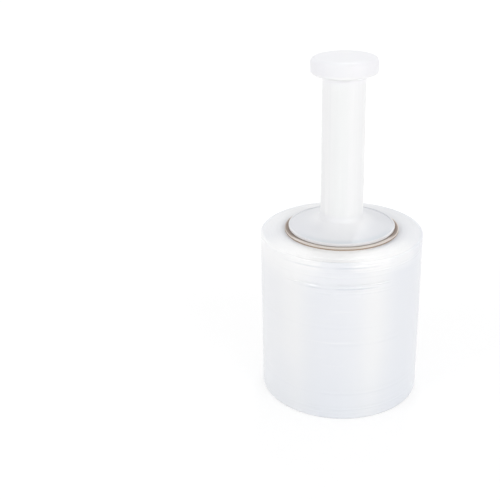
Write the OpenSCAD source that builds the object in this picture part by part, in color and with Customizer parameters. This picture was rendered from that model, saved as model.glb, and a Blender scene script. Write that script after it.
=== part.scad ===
// Hand roll of clear stretch film on a cardboard core, with a moulded plastic handle plugged
// into the core. The roll stands on one end, and it spins on the handle's hub when film is
// pulled off. Millimetres, +Z up, origin on the roll's axis in the plane of its lower end.

/* [Film] */
// Thickness of the wound film over the core, measured outwards
film_wind = 18; // [10:0.5:50]
// Height of the wound film at its side, which is the width of the film
film_h = 127.3; // [100:0.1:260]
// Height that the upper end rises from the side to the core
film_crown = 1.6; // [0.2:0.1:4]
// Rounding of the outer edge at the upper end
film_top_edge = 1.6; // [0.5:0.1:4]
// Rounding of the outer edge at the lower end
film_base_edge = 2.4; // [0.5:0.1:4]
// Deepest of the soft bands that run round the side
band_depth = 0.5; // [0.1:0.1:1]
// Spacing of the groups of turns that show as rings on both ends
turn_pitch = 2.2; // [1.5:0.1:4]
// Depth of the fine channel between two such rings
turn_groove = 0.3; // [0.1:0.1:0.6]

/* [Core] */
// Bore of the cardboard tube
core_bore = 76; // [60:1:84]
// Wall of the cardboard tube
core_wall = 4; // [2.5:0.5:7]
// Length of tube that stands proud of the film at the upper end
core_proud = 1.4; // [0.5:0.1:8]
// Bevel of the tube's cut edges
core_bevel = 0.3; // [0.2:0.1:0.5]

/* [Handle hub] */
// Length of the hub inside the core
hub_l = 38; // [20:1:80]
// Wall of the hub's outer sleeve
hub_wall = 2.2; // [1.5:0.1:3.5]
// Gap all round between the hub and the core, so that the roll spins
hub_clearance = 0.3; // [0.2:0.1:1]
// Bevel that leads the hub into the core
hub_lead = 1; // [0.4:0.1:1.4]
// Number of webs between the shaft and the sleeve
web_count = 6; // [3:1:10]
// Thickness of a web
web_t = 2; // [1.2:0.1:3]
// Distance from the sleeve's lower end up to the webs
web_setback = 5; // [1:1:12]

/* [Handle flange] */
// Reach of the flange's rim beyond the core's bore
flange_lap = 1.1; // [1.1:0.1:2]
// Reach of the seating ring beyond the core's bore
seat_lap = 0.6; // [0.5:0.05:0.65]
// Height of the seating ring that runs on the core's end
seat_h = 0.4; // [0.3:0.1:3]
// Gap between the seating ring and the core's end
seat_gap = 0.1; // [0.05:0.05:0.5]
// Thickness of the flange at its rim
rim_t = 1.9; // [1.4:0.1:4]
// Bevel of the rim's edges
rim_edge = 0.4; // [0.2:0.05:0.45]
// Width of the bead that runs round the top of the rim
bead_w = 1.2; // [0.8:0.1:2]
// Height of that bead over the flange's upper face
bead_h = 0.4; // [0.2:0.1:0.8]
// Height of the flange at the shaft over the top of its rim
flange_rise = 6.9; // [2:0.1:12]
// Wall of the flange under its sloping upper face
flange_wall = 2; // [1.5:0.1:3]
// Fillet between the flange's upper face and the shaft
shaft_fillet = 4; // [2:0.5:8]

/* [Handle grip] */
// Diameter of the shaft at the flange
shaft_d_base = 31.4; // [26:0.1:40]
// Diameter of the shaft under the knob
shaft_d_top = 30.8; // [26:0.1:40]
// Wall of the hollow shaft
shaft_wall = 3; // [1.5:0.1:5]
// Length of the grip, from the flange's rim to the underside of the knob
grip_l = 112; // [70:1:180]
// Fillet between the shaft and the underside of the knob
knob_fillet = 1; // [0.5:0.1:2]
// Diameter of the knob
knob_d = 47.6; // [44:0.1:70]
// Height of the knob at its side
knob_h = 11.6; // [9:0.1:25]
// Rounding of the knob's upper edge
knob_top_edge = 3.6; // [1:0.1:5]
// Rounding of the knob's lower edge
knob_low_edge = 2.2; // [0.5:0.1:3]
// Height that the top of the knob crowns in its middle
knob_crown = 0.7; // [0.3:0.1:3]
// Wall left over the hollow shaft at the top of the knob
knob_roof = 3.2; // [2:0.1:5]

/* [Hidden] */

$fn = 96;
// Soft bands round the film: place below its upper end as a share of its height, depth as a
// share of the deepest band, and half width in millimetres
bands = [
  [0.030, 0.8, 1.4],
  [0.073, 0.3, 1.2],
  [0.153, 1.0, 1.8],
  [0.187, 0.3, 1.6],
  [0.395, 0.3, 2.2],
  [0.500, 0.4, 2.4],
  [0.825, 0.5, 2.0],
  [0.931, 0.7, 1.2],
  [0.958, 0.5, 1.0]
];
// Spacing of the points down the film's side, and number of steps in a rounded edge and
// across the crowned end
band_step = 1;
edge_steps = 6;
crown_steps = 8;
// Half width of the channel between two rings of turns
turn_half = 0.25;
// Length by which a cut runs past the face that it opens
over = 1;
// Depth by which a fillet's arc dips into the two faces that it joins, so that they cross
bite = 0.02;

core_r_in = core_bore / 2;
core_r_out = core_r_in + core_wall;
film_r = core_r_out + film_wind;
core_l = film_h + film_crown + core_proud;
turn_count = floor((film_wind - max(film_top_edge, film_base_edge)) / turn_pitch);
crown_w = film_wind - film_top_edge;

hub_r = core_r_in - hub_clearance;
seat_z = core_l + seat_gap;
hub_z = seat_z - hub_l;
rim_z = seat_z + seat_h;
rim_top_z = rim_z + rim_t;
rim_r = core_r_in + flange_lap;
seat_r = core_r_in + seat_lap;

shaft_r_base = shaft_d_base / 2;
shaft_r_top = shaft_d_top / 2;
bore_r_base = shaft_r_base - shaft_wall;
bore_r_top = shaft_r_top - shaft_wall;
neck_z = rim_top_z + flange_rise;
face_r = rim_r - bead_w - bead_h;
face_z = rim_top_z - bead_h;
slope = atan((neck_z - face_z) / (face_r - shaft_r_base));
knob_z = rim_top_z + grip_l;
knob_r = knob_d / 2;
knob_top_z = knob_z + knob_h;
crown_r = (pow(knob_r - knob_top_edge, 2) + pow(knob_crown, 2)) / (2 * knob_crown);

// Depth of the bands at a distance below the film's upper end, each band a smooth dip
function dip(below) = band_depth * max([
  for (b = bands)
    let (off = below - b[0] * film_h)
      abs(off) < 2 * b[2] ? b[1] * (1 + cos(90 * off / b[2])) / 2 : 0
]);

// Height of the film's upper end at radius r, level beside the core and falling to the side
function end_z(r) = film_h + film_crown * (1 - pow((r - core_r_out) / crown_w, 2));

// Height of the flange's underside at radius r
function ceiling_z(r) = face_z + (face_r - r) * tan(slope) - flange_wall / cos(slope);

// Quarter round of radius r about (cx, cz), from angle a to angle a + 90
function quarter(cx, cz, r, a) = [
  for (i = [0 : edge_steps]) [cx + r * cos(a + 90 * i / edge_steps), cz + r * sin(a + 90 * i / edge_steps)]
];

// Outline of half the wound film, seen in a cut through the axis
module film_outline() {
  side = [
    for (z = [film_base_edge + band_step : band_step : film_h - film_top_edge - band_step])
      [film_r - dip(film_h - z), z]
  ];
  polygon(concat(
    [[core_r_out, 0]],
    quarter(film_r - film_base_edge, film_base_edge, film_base_edge, -90),
    side,
    quarter(film_r - film_top_edge, film_h - film_top_edge, film_top_edge, 0),
    [for (i = [crown_steps - 1 : -1 : 0]) let (r = core_r_out + crown_w * i / crown_steps) [r, end_z(r)]]
  ));
}

// Section of the fine channel between two groups of turns
module turn_channel() {
  polygon([[-turn_half, 0], [0, -turn_groove], [turn_half, 0], [0, turn_groove]]);
}

// Film wound turn on turn, with the rings of its turns on both ends
module film_roll() {
  color([0.93, 0.94, 0.95])
    rotate_extrude()
      difference() {
        film_outline();
        for (i = [1 : turn_count])
          let (r = core_r_out + i * turn_pitch)
            for (z = [0, end_z(r)])
              translate([r, z])
                turn_channel();
      }
}

// Spiral wound cardboard tube, cut square at both ends
module core() {
  color([0.72, 0.58, 0.44])
    rotate_extrude()
      polygon([
        [core_r_in, core_bevel],
        [core_r_in + core_bevel, 0],
        [core_r_out - core_bevel, 0],
        [core_r_out, core_bevel],
        [core_r_out, core_l - core_bevel],
        [core_r_out - core_bevel, core_l],
        [core_r_in + core_bevel, core_l],
        [core_r_in, core_l - core_bevel]
      ]);
}

// Outer form of the hub, the seating ring and the cone shaped flange with its beaded rim
module flange_outline() {
  polygon([
    [0, hub_z],
    [hub_r - hub_lead, hub_z],
    [hub_r, hub_z + hub_lead],
    [hub_r, seat_z],
    [seat_r, seat_z],
    [seat_r, rim_z],
    [rim_r - rim_edge, rim_z],
    [rim_r, rim_z + rim_edge],
    [rim_r, rim_top_z - rim_edge],
    [rim_r - rim_edge, rim_top_z],
    [rim_r - bead_w, rim_top_z],
    [face_r, face_z],
    [shaft_r_base, neck_z],
    [0, neck_z]
  ]);
}

// Length of the straight sides that a fillet of radius r takes up, where one side falls away at
// the given tilt
function fillet_run(r, tilt) = r * tan((90 - tilt) / 2);

// Fillet in a corner at [0, 0], between an upright wall and a face that falls away from it
module fillet_outline(r, tilt) {
  run = fillet_run(r, tilt);
  foot = run * [cos(tilt), -sin(tilt)];
  sink = shaft_wall / 2;
  difference() {
    polygon([
      [-sink, -sink],
      [-sink, run],
      [r, run],
      foot,
      foot - [0, sink]
    ]);
    translate([r, run])
      circle(r = r + bite);
  }
}

// Tapering shaft with a fillet at each end
module grip_outline() {
  polygon([
    [0, neck_z],
    [shaft_r_base, neck_z],
    [shaft_r_base, neck_z + fillet_run(shaft_fillet, slope)],
    [shaft_r_top, knob_z - knob_fillet],
    [shaft_r_top, knob_z],
    [0, knob_z]
  ]);
  translate([shaft_r_base, neck_z])
    fillet_outline(shaft_fillet, slope);
  translate([shaft_r_top, knob_z])
    mirror([0, 1])
      fillet_outline(knob_fillet, 0);
}

// Knob with rounded edges and a slightly crowned top
module knob_outline() {
  intersection() {
    union() {
      translate([0, knob_z])
        square([knob_r - knob_low_edge, knob_h + knob_crown]);
      translate([0, knob_z + knob_low_edge])
        square([knob_r, knob_h - knob_low_edge - knob_top_edge]);
      translate([0, knob_z + knob_low_edge])
        square([knob_r - knob_top_edge, knob_h + knob_crown - knob_low_edge]);
      translate([knob_r - knob_low_edge, knob_z + knob_low_edge])
        circle(r = knob_low_edge);
      translate([knob_r - knob_top_edge, knob_top_z - knob_top_edge])
        circle(r = knob_top_edge);
    }
    translate([0, knob_top_z + knob_crown - crown_r])
      circle(r = crown_r, $fn = 360);
    square([knob_r + over, knob_top_z + knob_crown + over]);
  }
}

// Hollow of the shaft, open at the lower end and closed by the knob
module bore_outline() {
  polygon([
    [0, hub_z - over],
    [bore_r_base, hub_z - over],
    [bore_r_base, neck_z],
    [bore_r_top, knob_z],
    [bore_r_top, knob_top_z - knob_roof],
    [0, knob_top_z - knob_roof]
  ]);
}

// Pocket between the shaft and the hub's sleeve, up to the underside of the flange
module pocket_outline() {
  inner = shaft_r_base;
  outer = hub_r - hub_wall;
  polygon([
    [inner, hub_z - over],
    [outer, hub_z - over],
    [outer, ceiling_z(outer)],
    [inner, ceiling_z(inner)]
  ]);
}

// Webs that tie the shaft to the sleeve inside the hub, and run up into the flange
module webs() {
  inner = shaft_r_base - shaft_wall / 2;
  outer = hub_r - hub_wall / 2;
  foot_z = hub_z + web_setback;
  for (i = [0 : web_count - 1])
    rotate([0, 0, i * 360 / web_count])
      translate([0, web_t / 2, 0])
        rotate([90, 0, 0])
          linear_extrude(web_t)
            polygon([
              [inner, foot_z],
              [outer, foot_z],
              [outer, ceiling_z(outer) + flange_wall / 2],
              [inner, ceiling_z(inner) + flange_wall / 2]
            ]);
}

// Handle moulded in one piece: knob, hollow shaft, flange and ribbed hub
module handle() {
  color([0.94, 0.94, 0.93])
    union() {
      rotate_extrude()
        difference() {
          union() {
            flange_outline();
            grip_outline();
            knob_outline();
          }
          bore_outline();
          pocket_outline();
        }
      webs();
    }
}

film_roll();
core();
handle();
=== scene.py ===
import math

import bmesh
import bpy
from mathutils import Matrix, Vector


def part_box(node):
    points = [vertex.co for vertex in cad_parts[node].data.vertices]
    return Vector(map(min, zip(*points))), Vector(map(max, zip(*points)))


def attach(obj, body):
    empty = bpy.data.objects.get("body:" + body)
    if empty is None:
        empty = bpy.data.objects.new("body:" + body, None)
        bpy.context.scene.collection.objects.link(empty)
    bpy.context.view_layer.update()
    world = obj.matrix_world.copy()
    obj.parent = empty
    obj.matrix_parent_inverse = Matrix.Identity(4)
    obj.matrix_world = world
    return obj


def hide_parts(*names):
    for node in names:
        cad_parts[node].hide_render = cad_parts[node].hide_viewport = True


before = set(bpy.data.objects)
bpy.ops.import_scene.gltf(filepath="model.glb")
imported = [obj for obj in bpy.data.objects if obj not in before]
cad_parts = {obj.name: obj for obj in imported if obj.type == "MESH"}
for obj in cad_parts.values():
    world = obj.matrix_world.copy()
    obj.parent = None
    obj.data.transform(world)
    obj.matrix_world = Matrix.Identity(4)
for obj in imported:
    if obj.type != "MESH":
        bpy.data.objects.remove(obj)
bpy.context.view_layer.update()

# Sizes in metres. The outer ones are read from the parts in model.glb, the others repeat the construction
MM = 0.001
film_low, film_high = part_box("film_roll")
core_low, core_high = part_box("core")
handle_low, handle_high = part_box("handle")

FILM_R = (film_high.x - film_low.x) / 2
FILM_CROWN = 1.6 * MM
FILM_TOP = film_high.z - FILM_CROWN
FILM_TOP_EDGE = 1.4 * MM
FILM_BASE_EDGE = 2.4 * MM
TURN_PITCH = 0.42 * MM
SLOPE_R = (46 * MM, 58 * MM)
STEP_R = 53 * MM
STEP_W = 0.8 * MM

CORE_R = (core_high.x - core_low.x) / 2
CORE_BORE_R = CORE_R - 4 * MM
CORE_TOP = core_high.z
CORE_BEVEL = 0.3 * MM
PLY = 0.55 * MM
STRIP_LEAD = 78.6 * MM

RIM_R = (handle_high.x - handle_low.x) / 2
HUB_LOW = handle_low.z
HUB_R = CORE_BORE_R - 0.3 * MM
HUB_WALL = 2.2 * MM
HUB_LEAD = 1 * MM
SEAT_R = CORE_BORE_R + 0.6 * MM
SEAT_Z = CORE_TOP + 0.1 * MM
RIM_Z = SEAT_Z + 0.4 * MM
RIM_TOP = RIM_Z + 1.9 * MM
RIM_EDGE = 0.4 * MM
BEAD_W = 1.2 * MM
BEAD_H = 0.4 * MM
FACE_R = RIM_R - BEAD_W - BEAD_H
FACE_Z = RIM_TOP - BEAD_H
FLANGE_WALL = 2 * MM
NECK_Z = RIM_TOP + 6.9 * MM
SHAFT_R_BASE = 15.7 * MM
SHAFT_R_TOP = 15.4 * MM
SHAFT_WALL = 3 * MM
SHAFT_FILLET = 4 * MM
KNOB_Z = RIM_TOP + 112 * MM
KNOB_R = 23.8 * MM
KNOB_CROWN = 0.7 * MM
KNOB_TOP = handle_high.z - KNOB_CROWN
KNOB_ROOF = 3.2 * MM
KNOB_TOP_EDGE = 3.6 * MM
KNOB_LOW_EDGE = 2.2 * MM
KNOB_FILLET = 1 * MM
WEB_COUNT = 6
WEB_T = 2 * MM
WEB_SETBACK = 5 * MM
FLANGE_SLOPE = (NECK_Z - FACE_Z) / (FACE_R - SHAFT_R_BASE)

# Steps of the meshes round the axis and along the curves of their outlines, the distance within
# which points merge, and the angle in degrees from which an edge is sharp
ROLL_STEPS = 256
HANDLE_STEPS = 160
EDGE_STEPS = 8
BEVEL_STEPS = 4
CROWN_STEPS = 10
MERGE = 0.002 * MM
SHARP_ANGLE = 40


# Sockets and node trees

class Value:
    """An output socket that sums, products, quotients and remainders can be written with."""

    def __init__(self, tree, socket):
        self.tree = tree
        self.socket = socket

    def out(self, name):
        """Another output of the same node."""
        return Value(self.tree, find(self.socket.node.outputs, name))

    def __add__(self, other):
        return self.tree.math("ADD", self, other)

    def __radd__(self, other):
        return self.tree.math("ADD", other, self)

    def __sub__(self, other):
        return self.tree.math("SUBTRACT", self, other)

    def __rsub__(self, other):
        return self.tree.math("SUBTRACT", other, self)

    def __mul__(self, other):
        return self.tree.math("MULTIPLY", self, other)

    def __rmul__(self, other):
        return self.tree.math("MULTIPLY", other, self)

    def __truediv__(self, other):
        return self.tree.math("DIVIDE", self, other)

    def __abs__(self):
        return self.tree.math("ABSOLUTE", self)

    def __mod__(self, other):
        return self.tree.math("FLOORED_MODULO", self, other)


def find(sockets, key):
    """The socket at a number, or the one in use that has a name."""
    if isinstance(key, int):
        return sockets[key]
    return next(s for s in sockets if s.enabled and s.name == key)


class Tree:
    """A node tree being written, for a material or for geometry."""

    def __init__(self, tree):
        self.tree = tree
        tree.nodes.clear()

    def feed(self, socket, value):
        if isinstance(value, Value):
            self.tree.links.new(value.socket, socket)
        else:
            socket.default_value = value

    def node(self, kind, settings=None, sockets=None, out=0):
        """A node of a kind, with its settings made first, then its inputs fed."""
        made = self.tree.nodes.new(kind)
        for name, value in (settings or {}).items():
            setattr(made, name, value)
        for key, value in (sockets or {}).items():
            several = value if isinstance(value, list) else [value]
            for v in several:
                self.feed(find(made.inputs, key), v)
        if not made.outputs:
            return made
        return Value(self, find(made.outputs, out))

    def math(self, operation, *values):
        return self.node("ShaderNodeMath", {"operation": operation}, dict(enumerate(values)))

    def vector(self, x, y, z):
        return self.node("ShaderNodeCombineXYZ", None, {"X": x, "Y": y, "Z": z})

    def ramp(self, value, low, high):
        """0 at low, 1 at high and a smooth change between them. Either one may be the larger."""
        return self.node(
            "ShaderNodeMapRange",
            {"interpolation_type": "SMOOTHSTEP"},
            {"Value": value, "From Min": low, "From Max": high},
        )

    def noise(self, vector, detail, roughness=0.5):
        """Noise over a vector, with grains about one unit across."""
        return self.node(
            "ShaderNodeTexNoise",
            None,
            {"Vector": vector, "Scale": 1, "Detail": detail, "Roughness": roughness},
        )

    def grain(self, place, per_metre, detail, roughness=0.5):
        """Noise over a place, as fine along each axis as its number per metre says."""
        scaled = self.node("ShaderNodeVectorMath", {"operation": "MULTIPLY"}, {0: place, 1: per_metre})
        return self.noise(scaled, detail, roughness)

    def mix(self, low, high, amount):
        """Colour low turning into colour high."""
        return self.node(
            "ShaderNodeMix",
            {"data_type": "RGBA", "clamp_factor": True},
            {"Factor": amount, "A": opaque(low), "B": opaque(high)},
            "Result",
        )

    def layers(self, under, *coats):
        """A colour with coats of (colour, amount) laid over it one after the other."""
        for coat, amount in coats:
            under = self.mix(under, coat, amount)
        return under


def opaque(shade):
    """A colour of three numbers with full alpha. A colour that comes from a node stays as it is."""
    return (*shade, 1) if isinstance(shade, tuple) else shade


# Objects and outlines

def new_object(name, data):
    """A new object in the scene."""
    made = bpy.data.objects.new(name, data)
    bpy.context.scene.collection.objects.link(made)
    return made


def arc(centre, radius, start, end, steps):
    """Points on an arc from one angle to another, in degrees."""
    angles = (math.radians(start + (end - start) * i / steps) for i in range(steps + 1))
    return [(centre[0] + radius * math.cos(a), centre[1] + radius * math.sin(a)) for a in angles]


def smooth(share):
    """A share from 0 to 1, eased at both ends."""
    share = min(max(share, 0), 1)
    return share * share * (3 - 2 * share)


def rounded(corners, steps=EDGE_STEPS):
    """Outline through corners of (radius, height, rounding), each corner rounded as it says."""
    points = []
    for i, (r, z, rounding) in enumerate(corners):
        corner = Vector((r, z))
        if not rounding or i in (0, len(corners) - 1):
            points.append((r, z))
            continue
        back = (Vector(corners[i - 1][:2]) - corner).normalized()
        on = (Vector(corners[i + 1][:2]) - corner).normalized()
        half = back.angle(on) / 2
        run = rounding / math.tan(half)
        middle = corner + (back + on).normalized() * (rounding / math.sin(half))
        first = corner + back * run - middle
        last = corner + on * run - middle
        turn = math.degrees(first.angle_signed(last))
        start = math.degrees(math.atan2(first.y, first.x))
        points += arc(middle, rounding, start, start - turn, steps)
    return points


def spaced(points, spacing):
    """The same outline with points added wherever a straight stretch is longer than spacing."""
    out = [points[0]]
    for a, b in zip(points, points[1:]):
        parts = max(1, round(math.dist(a, b) / spacing))
        for i in range(1, parts + 1):
            out.append((a[0] + (b[0] - a[0]) * i / parts, a[1] + (b[1] - a[1]) * i / parts))
    return out


def outline_object(name, points):
    """An object that holds an outline as a line of vertices in the XZ plane."""
    mesh = bpy.data.meshes.new(name)
    edges = [(i, i + 1) for i in range(len(points) - 1)]
    mesh.from_pydata([(r, 0, z) for r, z in points], edges, [])
    return new_object(name, mesh)


# Geometry trees

def compass(tree, angle):
    """Cosine and sine of an angle round the axis, for what has to close on itself there."""
    return tree.math("COSINE", angle), tree.math("SINE", angle)


def new_geometry_tree(name, inputs):
    """A geometry tree with named inputs, and what comes in at each."""
    group = bpy.data.node_groups.new(name, "GeometryNodeTree")
    group.interface.new_socket("Outline", in_out="INPUT", socket_type="NodeSocketGeometry")
    group.interface.new_socket("Mesh", in_out="OUTPUT", socket_type="NodeSocketGeometry")
    for label, (kind, value) in inputs.items():
        socket = group.interface.new_socket(label, in_out="INPUT", socket_type=kind)
        if value is not None:
            socket.default_value = value
    tree = Tree(group)
    entry = tree.node("NodeGroupInput", None, None, "Outline")
    return tree, {label: entry.out(label) for label in ["Outline", *inputs]}


def turned(tree, given, relief=None):
    """Turns the outline round the Z axis. relief gives what to add to the radius and height."""
    outline = given["Outline"]
    steps = given["Steps round"]
    count = tree.node(
        "GeometryNodeAttributeDomainSize", {"component": "MESH"}, {"Geometry": outline}, "Point Count"
    )
    grid = tree.node(
        "GeometryNodeMeshGrid",
        None,
        {"Size X": 1, "Size Y": 1, "Vertices X": steps + 1, "Vertices Y": count},
        "Mesh",
    )
    index = tree.node("GeometryNodeInputIndex")
    position = tree.node("GeometryNodeInputPosition")
    place = tree.node(
        "GeometryNodeSampleIndex",
        {"data_type": "FLOAT_VECTOR", "domain": "POINT"},
        {"Geometry": outline, "Value": position, "Index": index % count},
    )
    r = tree.node("ShaderNodeSeparateXYZ", None, {"Vector": place}, "X")
    z = r.out("Z")
    step = tree.math("FLOOR", index / count)
    angle = (step % steps) * math.tau / steps
    east, north = compass(tree, angle)
    if relief:
        more_r, more_z = relief(tree, given, r, z, angle, tree.vector(east * r, north * r, z))
        r = r + more_r
        z = z + more_z
    moved = tree.node(
        "GeometryNodeSetPosition", None, {"Geometry": grid, "Position": tree.vector(east * r, north * r, z)}
    )
    return tree.node("GeometryNodeMergeByDistance", None, {"Geometry": moved, "Distance": MERGE})


def close_tree(tree, given, geometry):
    """Ends a tree in real geometry with its material and its exit, and gives back its group."""
    real = tree.node("GeometryNodeRealizeInstances", None, {"Geometry": geometry})
    done = tree.node("GeometryNodeSetMaterial", None, {"Geometry": real, "Material": given["Material"]})
    tree.node("NodeGroupOutput", None, {"Mesh": done})
    return tree.tree


def grow(carrier, group, values):
    """Runs a geometry tree on an object and keeps the result as its plain mesh."""
    modifier = carrier.modifiers.new(group.name, "NODES")
    modifier.node_group = group
    for item in group.interface.items_tree:
        if item.in_out == "INPUT" and item.name in values:
            modifier[item.identifier] = values[item.name]
    bpy.context.view_layer.update()
    evaluated = carrier.evaluated_get(bpy.context.evaluated_depsgraph_get())
    mesh = bpy.data.meshes.new_from_object(evaluated)
    carrier.modifiers.clear()
    old = carrier.data
    carrier.data = mesh
    bpy.data.meshes.remove(old)
    mesh.name = carrier.name
    work = bmesh.new()
    work.from_mesh(mesh)
    bmesh.ops.recalc_face_normals(work, faces=work.faces)
    work.to_mesh(mesh)
    work.free()
    mesh.set_sharp_from_angle(angle=math.radians(SHARP_ANGLE))
    for face in mesh.polygons:
        face.use_smooth = True
    return carrier


TURNED_INPUTS = {
    "Steps round": ("NodeSocketInt", ROLL_STEPS),
    "Material": ("NodeSocketMaterial", None),
}

# Bands where the film was wound more tautly: distance below the upper end as a share of the
# height, depth and half width in millimetres, the angle where each is deepest and how far it
# reaches to both sides of it. Those that reach less than 20 degrees are short creases, and the
# last five are on the far side
BANDS = (
    (0.025, 0.60, 1.6, -100, 46),
    (0.060, 0.14, 0.8, -60, 70),
    (0.086, 0.10, 0.9, -105, 60),
    (0.152, 0.80, 1.4, -99, 35),
    (0.186, 0.12, 0.9, -88, 40),
    (0.395, 0.07, 1.6, -120, 80),
    (0.500, 0.10, 1.8, -80, 60),
    (0.825, 0.14, 1.4, -95, 90),
    (0.931, 0.16, 1.0, -90, 80),
    (0.958, 0.12, 0.8, -110, 90),
    (0.012, 0.22, 0.5, -76, 16),
    (0.016, 0.20, 0.5, -124, 16),
    (0.048, 0.22, 0.6, -72, 14),
    (0.141, 0.40, 0.7, -73, 14),
    (0.144, 0.26, 0.6, -126, 14),
    (0.040, 0.30, 1.0, 70, 60),
    (0.120, 0.35, 1.2, 100, 50),
    (0.145, 0.15, 1.0, 20, 60),
    (0.330, 0.12, 1.5, 130, 60),
    (0.640, 0.14, 1.6, 60, 70),
)


# Materials

WHITE = (1, 1, 1)
CLEAR_WHITE = (0.98, 0.98, 0.985)
PLASTIC_IOR = 1.5
FILM_GLOW = 0.006
HANDLE_GLOW = 0.005


def new_material(name):
    """A material with its shader tree, and the object coordinates in it."""
    material = bpy.data.materials.new(name)
    material.use_nodes = True
    tree = Tree(material.node_tree)
    place = tree.node("ShaderNodeTexCoord", None, None, "Object")
    return material, tree, place


def round_axis(tree, place):
    """Radius, angle and height of a place, for patterns that run round the axis."""
    x = tree.node("ShaderNodeSeparateXYZ", None, {"Vector": place}, "X")
    y = x.out("Y")
    r = tree.math("SQRT", x * x + y * y)
    return r, tree.math("ARCTAN2", y, x), x.out("Z")


def finish_material(tree, sockets, bump=None):
    """Closes a material with its shader, and a bump of (height, distance) if there is one."""
    if bump:
        height, distance = bump
        sockets["Normal"] = tree.node("ShaderNodeBump", None, {"Height": height, "Distance": distance})
    shader = tree.node("ShaderNodeBsdfPrincipled", None, sockets)
    tree.node("ShaderNodeOutputMaterial", None, {"Surface": shader})


def facing(tree, angle, middle, reach):
    """1 at one angle round the axis, falling to 0 at a reach in degrees to both sides of it."""
    turned_off = tree.math("COSINE", angle - math.radians(middle))
    return tree.ramp(turned_off, math.cos(math.radians(reach)), 1)


def band_pull(tree, angle, share, middle, reach):
    """How hard a band pulls round the roll: most at its middle, and unevenly to both sides."""
    east, north = compass(tree, angle)
    uneven = tree.noise(tree.vector(east * 3.5, north * 3.5, share * 90), 2)
    return facing(tree, angle, middle, reach) * tree.ramp(uneven, 0.25, 0.6)


def band_shade_lines(tree, angle, z):
    """How strongly the painted dark line of shade along each band shows."""
    band_shade = 0
    for share, depth, half_width, middle, reach in BANDS:
        below = FILM_TOP * (1 - share) - z
        line = tree.ramp(abs(below - 0.5 * half_width * MM), 0.8 * half_width * MM, 0)
        band_shade = line * band_pull(tree, angle, share, middle, reach) * depth + band_shade
    return band_shade


def film_side_colour(tree, place, angle, z, mottle, streaks, gloss_and_glints):
    """Side of the roll: painted bluish shade in front, at its edges, low down and along the bands, painted
    light near its upper end, and painted glints.
    """
    # Random patches, shifted by painted light at the front left and painted shade at the back right
    patches_and_light = tree.grain(place, (17, 17, 5), 1) + tree.math("COSINE", angle + math.radians(120)) * 0.14
    # Painted shade: bluish zones in front, to the right and at both edges as seen
    cool_shade = facing(tree, angle, -101, 28) * 0.55 + facing(tree, angle, -38, 34) * 0.8
    cool_shade = cool_shade + facing(tree, angle, -6, 18) * 0.95 + facing(tree, angle, 174, 18) * 0.8
    # Painted light: whiter near the upper end at the front left and the front right
    painted_light = tree.ramp(z, FILM_TOP - 26 * MM, FILM_TOP - 4 * MM) * facing(tree, angle, -150, 55)
    rising = tree.ramp(z, FILM_TOP - 15 * MM, FILM_TOP - 3 * MM)
    painted_light = painted_light + rising * facing(tree, angle, -56, 26) * 0.8
    return tree.layers(
        (0.855, 0.868, 0.905),
        ((0.89, 0.895, 0.91), mottle),
        ((0.92, 0.922, 0.923), tree.ramp(patches_and_light, 0.5, 0.75) * 0.6),
        ((0.81, 0.84, 0.89), tree.ramp(patches_and_light, 0.52, 0.3) * 0.6),
        ((0.8, 0.82, 0.87), cool_shade),
        (CLEAR_WHITE, painted_light * 0.8),
        # Painted glints near the upper edge, where the lamps catch it
        (WHITE, gloss_and_glints * tree.ramp(z, FILM_TOP - 9 * MM, FILM_TOP - 4 * MM) * 0.7),
        # Painted shade, bluer low down
        ((0.79, 0.825, 0.88), tree.ramp(z, 60 * MM, 4 * MM) * 0.35),
        # Painted shade along the bands
        ((0.70, 0.73, 0.79), band_shade_lines(tree, angle, z) * 0.9),
        ((0.97, 0.97, 0.975), streaks * 0.25),
    )


def film_end_colour(tree, r, angle, end, turns, gloss_and_glints):
    """Ends of the roll: rings of turns, a painted highlight in front and towards the back, painted glints,
    and painted grey shade round the core, strongest at the sides.
    """
    east, north = compass(tree, angle)
    groups = tree.noise(tree.vector(r * 420, east, north), 3)
    front = tree.ramp(tree.math("COSINE", angle + math.radians(97)), 0.2, 0.8)
    # Painted shade round the core, mostly at the left and right
    near = tree.ramp(r, CORE_R + 10 * MM, CORE_R) * 0.3 + tree.ramp(r, CORE_R + 4 * MM, CORE_R) * 0.3
    around = tree.ramp(abs(east), 0.15, 0.95) * (1 - facing(tree, angle, 25, 30) * 0.6)
    around = around + facing(tree, angle, -50, 30) * 0.5
    return tree.layers(
        (0.815, 0.83, 0.862),
        ((0.88, 0.887, 0.907), groups * 0.6 + turns * 0.4),
        # Painted highlight in front and towards the back
        ((0.985, 0.985, 0.99), front * 0.95 + facing(tree, angle, 120, 75) * 0.45),
        # Painted glints where the lamps catch the end
        (WHITE, gloss_and_glints),
        ((0.55, 0.56, 0.6), near * end * around),
    )


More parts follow.
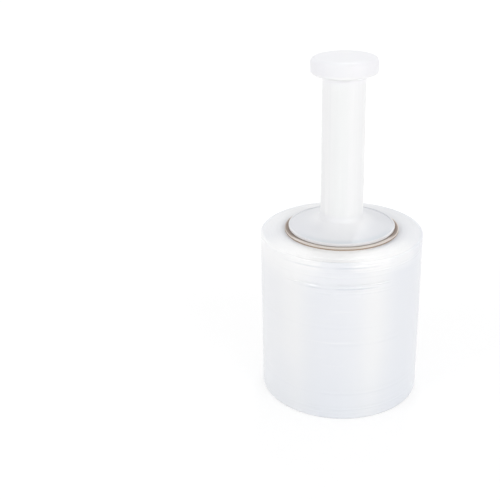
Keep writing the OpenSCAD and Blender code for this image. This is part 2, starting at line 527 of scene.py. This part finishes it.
def make_stretch_film():
    """Many turns of clear film: milky white, glossy, with fine lines that run round the roll."""
    material, tree, place = new_material("stretch_film")
    r, angle, z = round_axis(tree, place)
    end = tree.ramp(r, FILM_R - 1.2 * MM, FILM_R - 3 * MM)
    side = 1 - end
    lines = tree.grain(place, (7, 7, 700), 4, 0.6)
    clouds = tree.grain(place, (16, 16, 34), 3)
    streaks = tree.ramp(tree.grain(place, (24, 24, 420), 2), 0.62, 0.74) * tree.ramp(clouds, 0.42, 0.6)
    ring = r / TURN_PITCH - angle / math.tau
    turns = tree.noise(tree.vector(tree.math("FLOOR", ring) * 0.37, angle * 0.25, 0), 3)
    turn_edge = tree.ramp(abs(ring % 1 - 0.5), 0.28, 0.5)
    # Angles where the lamps glint: painted glints in the colour, and more coat there too
    gloss_and_glints = facing(tree, angle, -75, 17) + facing(tree, angle, -122, 15)

    mottle = lines * 0.3 + clouds * 0.7
    side_colour = film_side_colour(tree, place, angle, z, mottle, streaks, gloss_and_glints)
    end_colour = film_end_colour(tree, r, angle, end, turns, gloss_and_glints)
    height = side * (lines * 0.35 + streaks * 0.3) + end * (turns * 0.8 - turn_edge * 0.6)
    finish_material(
        tree,
        {
            "Base Color": tree.mix(side_colour, end_colour, end),
            "Roughness": 0.34 + end * 0.06 + clouds * 0.08,
            "Coat Weight": side * 0.35 + 0.2 + gloss_and_glints * 0.4,
            "Coat Roughness": 0.12,
            "Subsurface Weight": 0.2,
            "Subsurface Radius": (FILM_GLOW,) * 3,
            "IOR": PLASTIC_IOR,
        },
        (height, 0.05 * MM),
    )
    return material


def make_core_board():
    """Spiral wound kraft board, with the seam of its strips, the plies of its cut ends, and painted shade
    on its upper cut end.
    """
    material, tree, place = new_material("core_board")
    r, angle, z = round_axis(tree, place)
    turn = (z / STRIP_LEAD - angle / math.tau) % 1
    seam = tree.ramp(abs(turn - 0.5), 0.009, 0.004)
    overlap = tree.ramp(turn, 0.5, 0.56) * tree.ramp(turn, 0.72, 0.6)
    fibres = tree.grain(place, (900, 900, 500), 4, 0.65)
    blotches = tree.grain(place, (60, 60, 60), 3)
    wander = tree.grain(place, (90, 90, 90), 2)
    plies = tree.ramp(abs((r / PLY + wander * 0.8) % 1 - 0.5), 0.32, 0.5)
    cut = tree.ramp(z, CORE_TOP - 0.7 * MM, CORE_TOP - 0.3 * MM)
    cut = tree.math("MAXIMUM", cut, tree.ramp(z, 0.7 * MM, 0.3 * MM))
    sideways = abs(tree.math("COSINE", angle))
    # Painted shade under the flange's rim, stronger at the sides, and along the end's outer edge, weaker at
    # the sides
    reach = (2.5 - tree.ramp(sideways, 0.65, 1) * 1.4) * MM
    inner = tree.ramp(CORE_R - r, reach, reach + 0.8 * MM) * (0.55 + 0.35 * sideways)
    edge_shade = tree.ramp(r, CORE_R - 0.5 * MM, CORE_R - 0.1 * MM) * (0.7 - 0.6 * sideways) + inner

    # Painted shade at the left and right of the cut end
    side_shade = tree.ramp(abs(tree.math("COSINE", angle + math.radians(4))) + blotches * 0.3, 0.95, 1.12)
    side_shade = side_shade * tree.ramp(CORE_R - r, 0.3 * MM, 1 * MM)

    wall = tree.layers(
        (0.3, 0.22, 0.165),
        ((0.45, 0.35, 0.27), fibres * 0.5 + blotches * 0.5),
        ((0.47, 0.36, 0.27), overlap * 0.3),
        ((0.11, 0.075, 0.055), seam * 0.85),
    )
    ends = tree.layers(
        (0.88, 0.81, 0.74),
        ((0.96, 0.91, 0.85), fibres * 0.6 + blotches * 0.4),
        # Painted shade towards the sides and on the left
        ((0.74, 0.67, 0.64), tree.ramp(sideways, 0.2, 0.85) * 0.5),
        ((0.42, 0.36, 0.34), facing(tree, angle, 172, 34) * 0.4),
        ((0.6, 0.51, 0.43), plies * 0.2),
        ((0.3, 0.24, 0.2), edge_shade * 0.8),
        ((0.34, 0.27, 0.23), side_shade * 0.85),
    )
    finish_material(
        tree,
        {"Base Color": tree.mix(wall, ends, cut), "Roughness": 0.82 + fibres * 0.12},
        (fibres * 0.5 + blotches * 0.3 - seam - plies * cut * 0.6, 0.18 * MM),
    )
    return material


def grip_colour(tree, angle, z, flow, swirls):
    """Knob and shaft, with streaks that run up the shaft, painted shade on the shaft's front, the knob's
    sides and its top, and a painted white line that lifts the shade at the knob's foot.
    """
    east, north = compass(tree, angle)
    drawn = tree.noise(tree.vector(east * 5, north * 5, z * 5), 3, 0.6)
    return tree.layers(
        (0.92, 0.925, 0.93),
        ((0.96, 0.96, 0.965), flow * 0.6 + swirls * 0.4),
        ((0.86, 0.87, 0.88), tree.ramp(drawn, 0.5, 0.72) * 0.5),
        ((0.995, 0.995, 1), tree.ramp(drawn, 0.46, 0.3) * 0.5),
        # Painted shade, greener, on the side facing the front
        ((0.88, 0.895, 0.89), facing(tree, angle, -104, 32) * 0.6),
        ((0.915, 0.91, 0.95), tree.ramp(z, KNOB_Z - 8 * MM, KNOB_Z) * 0.6),
        # Painted light that lifts the shade under the knob
        (WHITE, tree.ramp(abs(z - KNOB_Z), 3 * MM, 1 * MM) * 0.9),
        # Painted bluish shade at the knob's left and right
        ((0.885, 0.875, 0.96), tree.ramp(z, KNOB_Z - 2 * MM, KNOB_Z + 2 * MM) * abs(east) * 0.3),
        # Painted shade on the knob's top
        ((0.84, 0.85, 0.87), tree.ramp(z, KNOB_TOP - 1.5 * MM, KNOB_TOP) * 0.5),
    )


def flange_colour(tree, r, angle, swirls):
    """The flange: painted shade greying it away from the shaft, towards its sides and back and in a line
    inside the rim in front, painted light at both sides of its neck and right of the shaft, and a painted
    highlight on its bead, darker in front.
    """
    shade = (0.72, 0.73, 0.765)
    toward = tree.math("COSINE", angle + math.radians(86))
    outward = tree.ramp(r, SHAFT_R_BASE, RIM_R)
    foot = tree.ramp(r, FACE_R - 5 * MM, FACE_R) * tree.ramp(r, FACE_R + 0.5 * MM, FACE_R)
    inside = tree.ramp(r, FACE_R - 4 * MM, SHAFT_R_BASE + 4 * MM)
    neck = tree.ramp(r, SHAFT_R_BASE + 12 * MM, SHAFT_R_BASE)
    both_sides = facing(tree, angle, -165, 60) + facing(tree, angle, -22, 55)
    front = tree.ramp(facing(tree, angle, -95, 85), 0.2, 0.8)
    bead = tree.mix((0.87, 0.87, 0.88), (0.77, 0.77, 0.785), front)
    return tree.layers(
        (0.91, 0.915, 0.93),
        # Painted shade away from the shaft, with random swirls
        ((0.795, 0.805, 0.83), outward * 0.75 + swirls * 0.25),
        # Painted shade towards the sides and the back
        (shade, tree.ramp(toward, 0.97, 0.5) * 0.6),
        # Painted shade towards the back right
        ((0.68, 0.69, 0.73), facing(tree, angle, 40, 70) * 0.6),
        # Painted shade at the front right, away from the shaft
        (shade, facing(tree, angle, -56, 34) * outward * 0.7),
        # Painted dark line of shade inside the rim in front
        ((0.6, 0.66, 0.7), foot * tree.ramp(toward, 0.2, 0.9) * 0.6),
        # Painted highlight right of the shaft in front
        (CLEAR_WHITE, inside * facing(tree, angle, -72, 28) * 0.2),
        # Painted light at both sides of the neck
        ((0.97, 0.97, 0.975), neck * both_sides * 0.45),
        # Painted highlight on the bead
        (bead, tree.ramp(r, RIM_R - 0.7 * MM, RIM_R - 0.3 * MM)),
    )


def make_handle_plastic():
    """Natural white moulded polyethylene, milky and satin, with painted shade that greys the flange and
    darkens the gap under its rim.
    """
    material, tree, place = new_material("handle_plastic")
    r, angle, z = round_axis(tree, place)
    flow = tree.grain(place, (60, 60, 22), 3)
    swirls = tree.grain(place, (150, 150, 60), 4, 0.6)
    pores = tree.grain(place, (1600, 1600, 1600), 2)
    # The flange, where its colours with painted shade and light take over
    on_flange = tree.ramp(z, NECK_Z + 7 * MM, NECK_Z + 1 * MM)
    # Painted shade in the gap under the rim
    under = tree.ramp(z, RIM_Z + 0.15 * MM, RIM_Z - 0.05 * MM) * tree.ramp(r, HUB_R, SEAT_R)
    plastic = tree.layers(
        grip_colour(tree, angle, z, flow, swirls),
        (flange_colour(tree, r, angle, swirls), on_flange),
        ((0.7, 0.64, 0.6), under * 0.4),
    )
    finish_material(
        tree,
        {
            "Base Color": plastic,
            "Roughness": 0.24 + flow * 0.14,
            "Subsurface Weight": 0.35,
            "Subsurface Radius": (HANDLE_GLOW,) * 3,
            "IOR": PLASTIC_IOR,
        },
        (pores * 0.3 + flow, 0.03 * MM),
    )
    return material


# Wound film

# Relief of the film in metres, apart from the share of their full depth that the bands have and
# the place of the loose end as a share of one turn
FILM_RELIEF = {
    "Band depth": 1.0,
    "Slack": 0.3 * MM,
    "Ring relief": 0.4 * MM,
    "Step": 1 * MM,
    "Tail place": 0.36,
    "Tail step": 0.14 * MM,
}


def film_relief(tree, given, r, z, angle, place):
    """Bands and slack in the film's side, its loose end, its uneven turns and the step on its top."""
    on_side = tree.ramp(r, FILM_R - 0.8 * MM, FILM_R - 0.1 * MM)
    dips = 0
    for share, depth, half_width, middle, reach in BANDS:
        below = (FILM_TOP * (1 - share) - z) / (half_width * MM)
        lip = tree.ramp(below, -2.6, -1) * tree.ramp(below, -0.1, -1)
        trough = tree.ramp(below, 0, 1) * tree.ramp(below, 5, 1)
        dips = (lip * 1.1 + trough) * band_pull(tree, angle, share, middle, reach) * (depth * MM) + dips
    slack = tree.grain(place, (18, 18, 40), 2) - 0.8
    fade = tree.ramp(z, 0, 6 * MM) * tree.ramp(z, FILM_TOP, FILM_TOP - 6 * MM)
    wavy = tree.noise(tree.vector(0, 0, z * 60), 2) * 0.012
    tail = (angle / math.tau - given["Tail place"] - wavy) % 1
    loose = slack * fade * given["Slack"]
    more_r = on_side * (loose - dips * given["Band depth"] - tail * given["Tail step"])

    over = tree.ramp(r, STEP_R - 6 * MM, STEP_R) * tree.ramp(r, STEP_R + STEP_W, STEP_R)
    lower = tree.ramp(r, STEP_R, STEP_R + STEP_W) * tree.ramp(r, FILM_R - 2 * MM, STEP_R + STEP_W)
    step = (over * 0.2 - lower * 0.1) * facing(tree, angle, -97, 65) * given["Step"]
    inside = tree.ramp(r, FILM_R - FILM_TOP_EDGE, FILM_R - 2 * FILM_TOP_EDGE)
    on_end = inside * tree.ramp(r, CORE_R, CORE_R + 0.4 * MM)
    height = tree.ramp(z, 0, FILM_TOP)
    east, north = compass(tree, angle)
    groups = tree.noise(tree.vector(r * 700, east * 0.7, north * 0.7), 3)
    more_z = on_end * ((height * 2 - 1) * (groups - 1) * given["Ring relief"] + height * step)
    return more_r, more_z


def film_outline():
    """Outline of the wound film, from the core at the lower end round to the core again."""
    low_side, top_side = FILM_R - FILM_BASE_EDGE, FILM_R - FILM_TOP_EDGE
    side_top = FILM_TOP - FILM_TOP_EDGE
    outline = spaced([(CORE_R, 0), (low_side, 0)], 0.4 * MM)
    outline += arc((low_side, FILM_BASE_EDGE), FILM_BASE_EDGE, -90, 0, EDGE_STEPS)[1:]
    for height, spacing in ((16 * MM, 0.5 * MM), (FILM_TOP - 30 * MM, 1 * MM), (side_top, 0.25 * MM)):
        outline += spaced([outline[-1], (FILM_R, height)], spacing)[1:]
    outline += arc((top_side, side_top), FILM_TOP_EDGE, 0, 90, EDGE_STEPS)[1:]
    across = [(top_side, 0)]
    for r, spacing in ((STEP_R + STEP_W, 0.35 * MM), (STEP_R, STEP_W / 8), (CORE_R, 0.35 * MM)):
        across += spaced([across[-1], (r, 0)], spacing)[1:]
    for r, _ in across[1:]:
        rise = smooth((SLOPE_R[1] - r) / (SLOPE_R[1] - SLOPE_R[0]))
        outline.append((r, FILM_TOP + FILM_CROWN * rise))
    return outline + [(CORE_R, 0)]


def make_film_roll(material):
    """The wound film, turned from its outline with the relief of its bands and ends."""
    inputs = {name: ("NodeSocketFloat", size) for name, size in FILM_RELIEF.items()}
    tree, given = new_geometry_tree("wind_film", TURNED_INPUTS | inputs)
    group = close_tree(tree, given, turned(tree, given, film_relief))
    values = {"Steps round": ROLL_STEPS, "Material": material} | FILM_RELIEF
    return grow(outline_object("wound_film", film_outline()), group, values)


# Cardboard core

def core_relief(tree, given, r, z, angle, place):
    """Fuzz on the cut ends, so that no ply ends quite level with the next."""
    cut = tree.math("MAXIMUM", tree.ramp(z, CORE_TOP - 0.2 * MM, CORE_TOP), tree.ramp(z, 0.2 * MM, 0))
    fuzz = tree.grain(place, (420, 420, 0), 3)
    upper = tree.ramp(z, 0, CORE_TOP) * 2 - 1
    return 0, cut * upper * (fuzz - 1) * given["Fuzz"]


def core_outline():
    """Outline of the core's wall, with close points only across its cut ends."""
    plain = rounded([
        (CORE_BORE_R, CORE_TOP / 2, 0),
        (CORE_BORE_R, 0, CORE_BEVEL),
        (CORE_R, 0, CORE_BEVEL),
        (CORE_R, CORE_TOP, CORE_BEVEL),
        (CORE_BORE_R, CORE_TOP, CORE_BEVEL),
        (CORE_BORE_R, CORE_TOP / 2, 0),
    ], BEVEL_STEPS)
    on_ends, on_walls = 0.3 * MM, 4 * MM
    outline = plain[:1]
    for a, b in zip(plain, plain[1:]):
        level = abs(a[1] - b[1]) < CORE_BEVEL / 10
        outline += spaced([a, b], on_ends if level else on_walls)[1:]
    return outline


def make_core(material):
    """The core, turned from its outline, with its cut ends a little rough."""
    tree, given = new_geometry_tree("wind_core", TURNED_INPUTS | {"Fuzz": ("NodeSocketFloat", 0)})
    group = close_tree(tree, given, turned(tree, given, core_relief))
    values = {"Steps round": ROLL_STEPS, "Material": material, "Fuzz": 0.25 * MM}
    return grow(outline_object("cardboard_core", core_outline()), group, values)


# Moulded handle

def ceiling(r):
    """Height of the flange's underside at a radius."""
    return FACE_Z + (FACE_R - r) * FLANGE_SLOPE - FLANGE_WALL * math.hypot(1, FLANGE_SLOPE)


def handle_outline():
    """Outline of the moulding, from the shaft's bore down round the hub and up to the knob."""
    sleeve_r = HUB_R - HUB_WALL
    body = rounded([
        (0, KNOB_TOP - KNOB_ROOF, 0),
        (SHAFT_R_TOP - SHAFT_WALL, KNOB_TOP - KNOB_ROOF, 1 * MM),
        (SHAFT_R_BASE - SHAFT_WALL, HUB_LOW, 0.4 * MM),
        (SHAFT_R_BASE, HUB_LOW, 0.4 * MM),
        (SHAFT_R_BASE, ceiling(SHAFT_R_BASE), 1 * MM),
        (sleeve_r, ceiling(sleeve_r), 1 * MM),
        (sleeve_r, HUB_LOW, 0.3 * MM),
        (HUB_R - HUB_LEAD, HUB_LOW, 0.3 * MM),
        (HUB_R, HUB_LOW + HUB_LEAD, 0.3 * MM),
        (HUB_R, SEAT_Z, 0.1 * MM),
        (SEAT_R, SEAT_Z, 0.15 * MM),
        (SEAT_R, RIM_Z, 0.1 * MM),
        (RIM_R, RIM_Z, RIM_EDGE),
        (RIM_R, RIM_TOP, RIM_EDGE),
        (RIM_R - BEAD_W, RIM_TOP, BEAD_H / 2),
        (FACE_R, FACE_Z, BEAD_H / 2),
        (SHAFT_R_BASE, NECK_Z, SHAFT_FILLET),
        (SHAFT_R_TOP, KNOB_Z, KNOB_FILLET),
        (KNOB_R, KNOB_Z, KNOB_LOW_EDGE),
        (KNOB_R, KNOB_TOP, KNOB_TOP_EDGE),
        (KNOB_R - KNOB_TOP_EDGE, KNOB_TOP, 0),
    ])
    flat = KNOB_R - KNOB_TOP_EDGE
    crown = []
    for i in range(1, CROWN_STEPS + 1):
        share = 1 - i / CROWN_STEPS
        crown.append((flat * share, KNOB_TOP + KNOB_CROWN * (1 - share ** 2)))
    return body[:-1] + crown


def make_handle(material):
    """The moulding is turned from its outline, and the webs inside its hub are set round the axis."""
    inputs = {"Webs": ("NodeSocketInt", WEB_COUNT), "Web": ("NodeSocketObject", None)}
    tree, given = new_geometry_tree("mould_handle", TURNED_INPUTS | inputs)
    shell = turned(tree, given)
    one = tree.node("GeometryNodeObjectInfo", None, {"Object": given["Web"]}, "Geometry")
    ring = tree.node("GeometryNodeMeshCircle", None, {"Vertices": given["Webs"], "Radius": 1 * MM})
    turn = tree.node("GeometryNodeInputIndex") * math.tau / given["Webs"]
    centre = tree.node("GeometryNodeSetPosition", None, {"Geometry": ring, "Position": (0, 0, 0)})
    webs = tree.node(
        "GeometryNodeInstanceOnPoints",
        None,
        {"Points": centre, "Instance": one, "Rotation": tree.vector(0, 0, turn)},
    )
    webs = tree.node("GeometryNodeRealizeInstances", None, {"Geometry": webs})
    joined = tree.node(
        "GeometryNodeMeshBoolean",
        {"operation": "UNION", "solver": "EXACT"},
        {"Mesh": [shell, webs]},
        "Mesh",
    )
    group = close_tree(tree, given, joined)
    web = make_web()
    values = {"Steps round": HANDLE_STEPS, "Material": material, "Webs": WEB_COUNT, "Web": web}
    made = grow(outline_object("moulded_handle", handle_outline()), group, values)
    bpy.data.objects.remove(web)
    return made


def make_web():
    """One web, from inside the shaft's wall to inside the sleeve, up into the flange."""
    inner = SHAFT_R_BASE - SHAFT_WALL / 2
    outer = HUB_R - HUB_WALL / 2
    foot = HUB_LOW + WEB_SETBACK
    up = FLANGE_WALL / 2
    face = [(inner, foot), (outer, foot), (outer, ceiling(outer) + up), (inner, ceiling(inner) + up)]
    mesh = bpy.data.meshes.new("web")
    corners = [(r, y, z) for y in (-WEB_T / 2, WEB_T / 2) for r, z in face]
    sides = [(i, (i + 1) % 4, (i + 1) % 4 + 4, i + 4) for i in range(4)]
    mesh.from_pydata(corners, [], [(3, 2, 1, 0), (4, 5, 6, 7), *sides])
    return new_object("web", mesh)


# Camera, lamps and floor

CAMERA_AT = (-0.0682, -0.6183, 0.3881)
CAMERA_DOWN = 24.00
CAMERA_TILT = -1.46
CAMERA_LENS = 65.0
LAMP_AIM_Z = 0.12

# Name, azimuth, elevation, distance, width, height and watts of each lamp
LAMPS = (
    ("key", 34, 26, 1.4, 0.8, 0.18, 3.2),
    ("low", 56, 4, 1.4, 0.35, 0.35, 1.4),
    ("left", -58, 24, 1.4, 0.8, 0.18, 3.5),
    ("top", 0, 88, 1.3, 1, 1, 1.4),
    ("back", 168, 58, 1.3, 0.34, 0.34, 2.2),
)

SKY_LIGHT = 0.64
FLOOR_HALF = 3
FLOOR_GREY = 0.93
FLOOR_GLOW = 1.125
FLOOR_GLOW_MORE = 0.28
FLOOR_GLOW_RISE = (0.1, 0.7)
FLOOR_GLOW_SHARE = 0.55


def make_camera():
    """The camera that was fitted to the outlines in the photograph."""
    data = bpy.data.cameras.new("camera")
    data.lens = CAMERA_LENS
    camera = new_object("camera", data)
    down = Matrix.Rotation(math.radians(90 - CAMERA_DOWN), 4, "X")
    tilt = Matrix.Rotation(math.radians(CAMERA_TILT), 4, "Z")
    camera.matrix_world = Matrix.Translation(CAMERA_AT) @ down @ tilt
    bpy.context.scene.camera = camera


def make_lamp(name, azimuth, elevation, distance, width, height, power):
    """A soft lamp aimed at the roll. Azimuth 0 is in front of it, and 90 on its right."""
    data = bpy.data.lights.new(name, "AREA")
    data.shape = "ELLIPSE"
    data.size = width
    data.size_y = height
    data.energy = power
    lamp = new_object(name, data)
    east, up = math.radians(azimuth), math.radians(elevation)
    way = Vector((math.sin(east) * math.cos(up), -math.cos(east) * math.cos(up), math.sin(up)))
    lamp.location = Vector((0, 0, LAMP_AIM_Z)) + way * distance
    lamp.rotation_euler = way.to_track_quat("Z", "Y").to_euler()


def background_rays(tree):
    """1 for a ray that should see the white background."""
    rays = tree.node("ShaderNodeLightPath", None, None, "Is Camera Ray")
    seen = tree.math("MAXIMUM", rays, rays.out("Is Glossy Ray"))
    return tree.math("MAXIMUM", seen, rays.out("Is Transmission Ray"))


def make_world():
    """Even white light from all round, seen by the camera as full white."""
    world = bpy.data.worlds.new("studio")
    world.use_nodes = True
    tree = Tree(world.node_tree)
    strength = SKY_LIGHT + (1 - SKY_LIGHT) * background_rays(tree)
    light = tree.node("ShaderNodeBackground", None, {"Color": opaque(WHITE), "Strength": strength})
    tree.node("ShaderNodeOutputWorld", None, {"Surface": light})
    bpy.context.scene.world = world


def make_floor():
    """A white floor that takes the roll's shadow and glows a little more far away."""
    material, tree, place = new_material("floor_white")
    r, _, _ = round_axis(tree, place)
    strength = FLOOR_GLOW + tree.ramp(r, *FLOOR_GLOW_RISE) * FLOOR_GLOW_MORE
    paint = tree.node("ShaderNodeBsdfDiffuse", None, {"Color": opaque((FLOOR_GREY,) * 3)})
    glow = tree.node("ShaderNodeEmission", None, {"Color": opaque(WHITE), "Strength": strength})
    share = background_rays(tree) * FLOOR_GLOW_SHARE
    both = tree.node("ShaderNodeMixShader", None, {"Fac": share, 1: paint, 2: glow})
    tree.node("ShaderNodeOutputMaterial", None, {"Surface": both})
    mesh = bpy.data.meshes.new("floor")
    half = FLOOR_HALF
    corners = [(-half, -half, 0), (half, -half, 0), (half, half, 0), (-half, half, 0)]
    mesh.from_pydata(corners, [], [(0, 1, 2, 3)])
    mesh.materials.append(material)
    new_object("floor", mesh)


bpy.context.scene.view_settings.view_transform = "Standard"
make_camera()
make_world()
make_floor()
for lamp in LAMPS:
    make_lamp(*lamp)

film_roll = make_film_roll(make_stretch_film())
core = make_core(make_core_board())
handle = make_handle(make_handle_plastic())
for piece, node, body, slot in (
    (film_roll, "film_roll", "roll", "stretch_film"),
    (core, "core", "roll", "core_board"),
    (handle, "handle", "handle", "handle_plastic"),
):
    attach(piece, body)
    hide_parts(node)
